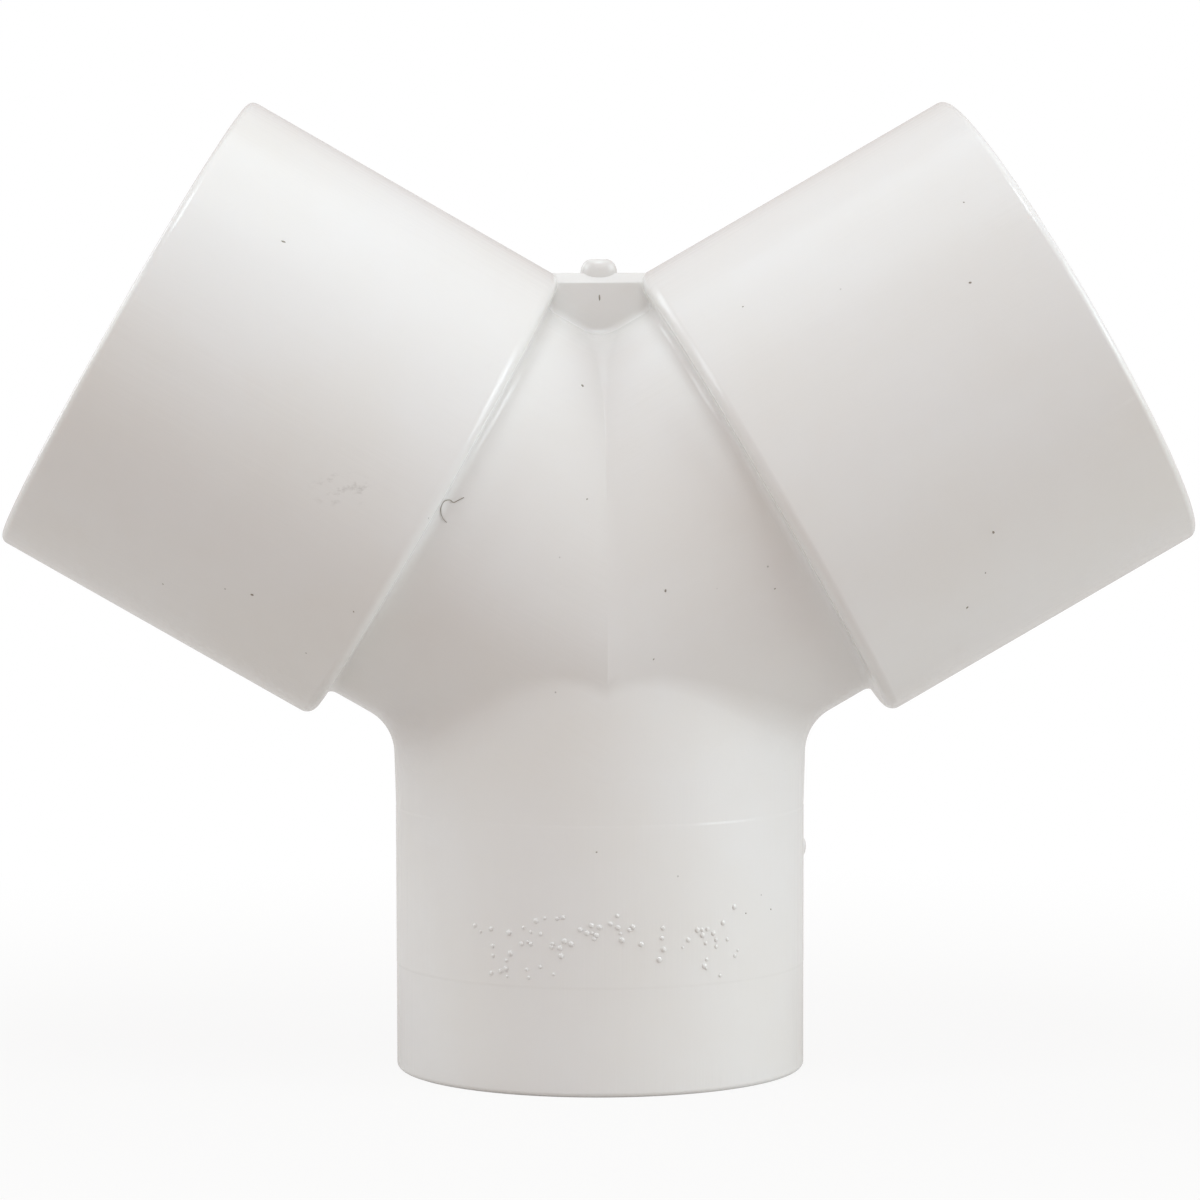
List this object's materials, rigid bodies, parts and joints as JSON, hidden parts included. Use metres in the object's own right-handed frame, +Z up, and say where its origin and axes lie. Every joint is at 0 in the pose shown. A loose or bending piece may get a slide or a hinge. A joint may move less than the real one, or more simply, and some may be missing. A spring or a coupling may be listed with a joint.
{
  "type": "pipe wye fitting",
  "caption": "White PVC wye pipe fitting that splits one line into equal branches at 120 degrees, with slip sockets on the branches and a spigot leg below.",
  "frame": {"origin": "centre of the spigot's end face, at the bottom of the part", "axes": "+Z up the spigot's axis, +X across the branches towards the right-hand socket; all the axes lie in the plane Y = 0"},
  "size_m": [0.0968, 0.041, 0.0788],
  "materials": {
    "white_pvc": "satin white rigid PVC as moulded"
  },
  "bodies": {
    "root": {"wye_body": "white_pvc"}
  },
  "joints": []
}
